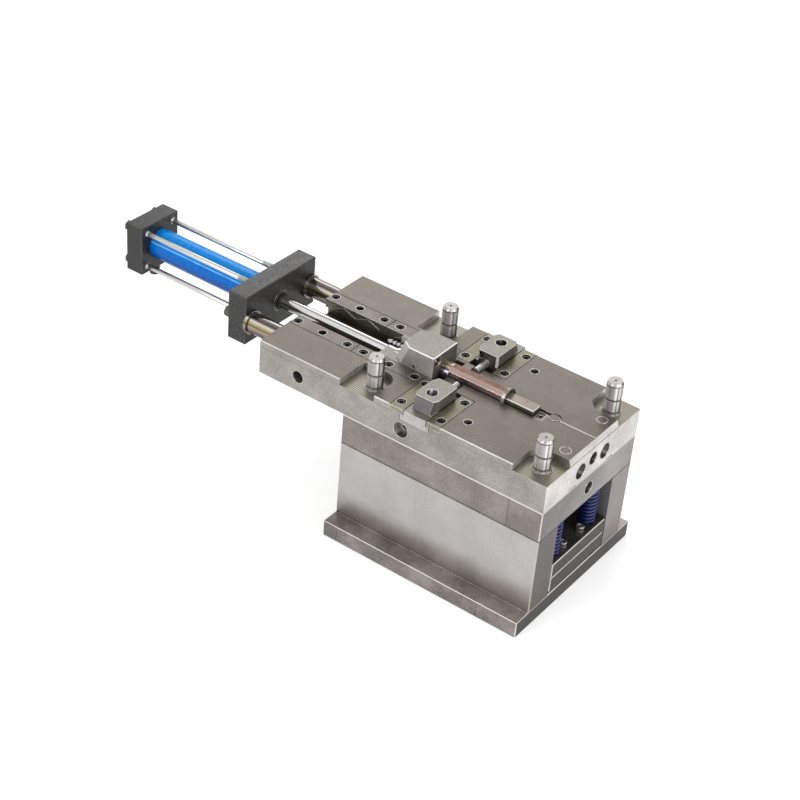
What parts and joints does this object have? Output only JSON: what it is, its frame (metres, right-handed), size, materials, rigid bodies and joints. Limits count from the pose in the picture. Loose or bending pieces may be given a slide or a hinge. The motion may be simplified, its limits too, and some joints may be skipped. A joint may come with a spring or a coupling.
{
  "type": "injection mould",
  "caption": "Ejector half of an injection mould with a hydraulic core pull, side slides, guide pins and a sprung ejector set",
  "frame": {"origin": "centre of the clamp plate's underside, on the axis of the knock-out hole", "axes": "+Z is the opening direction, +X points away from the hydraulic cylinder, -Y is the operator's side"},
  "size_m": [0.866, 0.31, 0.308],
  "materials": {
    "plate_steel": "ground tool steel with grinding marks",
    "clamp_steel": "ground tool steel, darker and oiled",
    "spacer_steel": "smooth ground tool steel",
    "ejector_steel": "ground tool steel",
    "black_oxide": "black oxide steel",
    "hardened_steel": "hardened and polished steel",
    "rail_steel": "nitrided steel with an olive cast",
    "slide_steel": "ground tool steel",
    "bright_screw": "bright steel",
    "bronze": "oiled bronze",
    "blue_spring": "blue coated spring steel",
    "blue_paint": "gloss blue paint",
    "zinc_plate": "zinc plated steel",
    "hard_chrome": "hard chrome plate",
    "piston_aluminium": "turned aluminium",
    "seal_rubber": "black rubber",
    "core_copper": "polished core with a copper cast"
  },
  "bodies": {
    "root": {"assembly_screws": "black_oxide", "bottom_clamp_plate": "clamp_steel", "cavity_plate": "plate_steel", "core_end_bar": "hardened_steel", "core_end_screws": "black_oxide", "core_end_stop": "hardened_steel", "cylinder_end_cap": "black_oxide", "cylinder_flange": "black_oxide", "cylinder_tube": "blue_paint", "ejector_guide_pins": "hardened_steel", "gib_front_left": "rail_steel", "gib_front_right": "rail_steel", "gib_rear_left": "rail_steel", "gib_rear_right": "rail_steel", "guide_pin_front_left": "hardened_steel", "guide_pin_front_right": "hardened_steel", "guide_pin_rear_left": "hardened_steel", "guide_pin_rear_right": "hardened_steel", "port_fitting_cap": "black_oxide", "port_fitting_flange": "black_oxide", "post_bolts": "black_oxide", "rail_and_gib_screws": "black_oxide", "return_springs": "blue_spring", "rod_gland": "black_oxide", "rod_wiper": "seal_rubber", "slide_rail_front_inner": "rail_steel", "slide_rail_front_outer": "rail_steel", "slide_rail_rear_inner": "rail_steel", "slide_rail_rear_outer": "rail_steel", "spacer_block_front": "spacer_steel", "spacer_block_rear": "spacer_steel", "spacer_post_front": "hard_chrome", "spacer_post_rear": "hard_chrome", "spacer_screws": "black_oxide", "stop_buttons": "ejector_steel", "support_pillars": "ejector_steel", "support_plate": "plate_steel", "tie_rod_nuts": "black_oxide", "tie_rods": "zinc_plate"},
    "ejector": {"ejector_base_plate": "ejector_steel", "ejector_retainer_plate": "ejector_steel", "return_pins": "hardened_steel", "sprue_puller_pin": "hardened_steel", "ejector_pins": "hardened_steel", "ejector_plate_screws": "bright_screw", "ejector_guide_bushes": "bronze"},
    "core_pull": {"piston": "piston_aluminium", "piston_seals": "seal_rubber", "piston_rod": "hard_chrome", "piston_nut": "black_oxide", "rod_coupling": "hard_chrome", "core_slide": "slide_steel", "core_pin": "core_copper", "water_nipple": "zinc_plate"},
    "front_slide": {"side_slide_front": "slide_steel", "side_core_front": "hardened_steel"},
    "rear_slide": {"side_slide_rear": "slide_steel", "side_core_rear": "hardened_steel"}
  },
  "joints": [
    {"name": "ejection", "type": "slide", "parent": "root", "child": "ejector", "axis": [0, 0, 1], "range_m": [0, 0.04], "deforming": ["return_springs"]},
    {"name": "core_stroke", "type": "slide", "parent": "root", "child": "core_pull", "axis": [-1, 0, 0], "range_m": [0, 0.15]},
    {"name": "front_slide_travel", "type": "slide", "parent": "root", "child": "front_slide", "axis": [0, -1, 0], "range_m": [-0.0085, 0.006]},
    {"name": "rear_slide_travel", "type": "slide", "parent": "root", "child": "rear_slide", "axis": [0, 1, 0], "range_m": [-0.0145, 0]}
  ]
}
